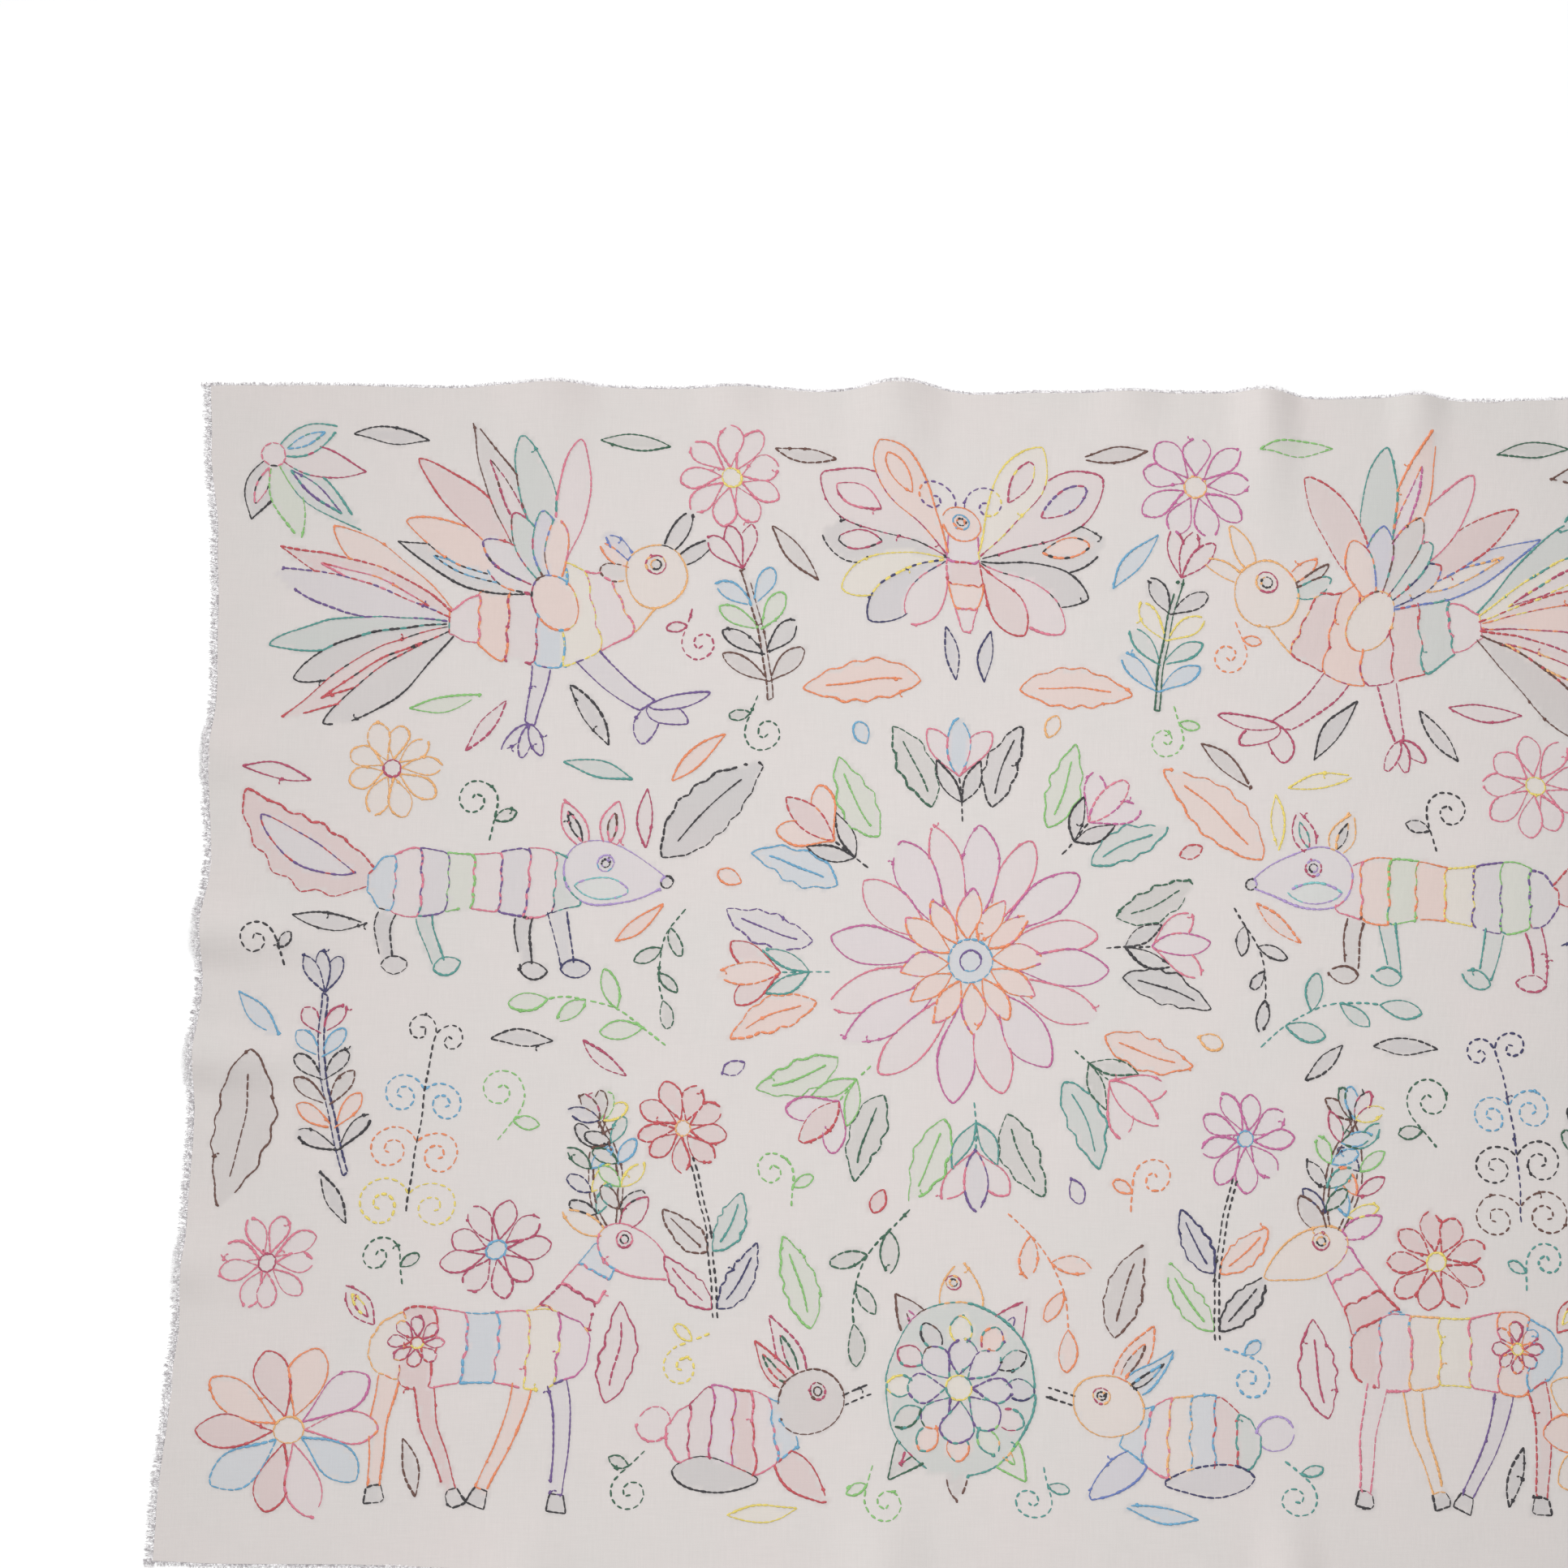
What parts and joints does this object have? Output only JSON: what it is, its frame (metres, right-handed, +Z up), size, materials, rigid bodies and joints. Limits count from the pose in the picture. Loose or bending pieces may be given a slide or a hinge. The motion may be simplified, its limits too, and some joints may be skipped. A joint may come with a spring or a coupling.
{
  "type": "otomi embroidered cloth",
  "caption": "Rectangular cotton muslin cloth with raw edges and outline embroidery of flowers, leaves, birds and animals, laid flat wrong side up with rippled margins.",
  "frame": {"origin": "middle of the cloth, on the surface that it lies on", "axes": "+X along the long side, +Y towards the top of the embroidery, +Z up out of the face that shows"},
  "size_m": [0.9, 0.7082, 0.0102],
  "materials": {
    "muslin": "undyed plain weave cotton, matt",
    "thread_crimson": "crimson stranded cotton embroidery thread, soft sheen",
    "thread_magenta": "magenta stranded cotton embroidery thread, soft sheen",
    "thread_rose": "rose stranded cotton embroidery thread, soft sheen",
    "thread_red": "red stranded cotton embroidery thread, soft sheen",
    "thread_orange": "orange stranded cotton embroidery thread, soft sheen",
    "thread_amber": "amber stranded cotton embroidery thread, soft sheen",
    "thread_yellow": "yellow stranded cotton embroidery thread, soft sheen",
    "thread_lime": "lime stranded cotton embroidery thread, soft sheen",
    "thread_green": "green stranded cotton embroidery thread, soft sheen",
    "thread_teal": "teal stranded cotton embroidery thread, soft sheen",
    "thread_aqua": "aqua stranded cotton embroidery thread, soft sheen",
    "thread_sky": "sky blue stranded cotton embroidery thread, soft sheen",
    "thread_blue": "blue stranded cotton embroidery thread, soft sheen",
    "thread_navy": "navy stranded cotton embroidery thread, soft sheen",
    "thread_violet": "violet stranded cotton embroidery thread, soft sheen",
    "thread_lilac": "lilac stranded cotton embroidery thread, soft sheen",
    "thread_black": "black stranded cotton embroidery thread, soft sheen",
    "thread_brown": "brown stranded cotton embroidery thread, soft sheen"
  },
  "bodies": {
    "root": {"embroidered_cloth": "muslin"}
  },
  "joints": []
}
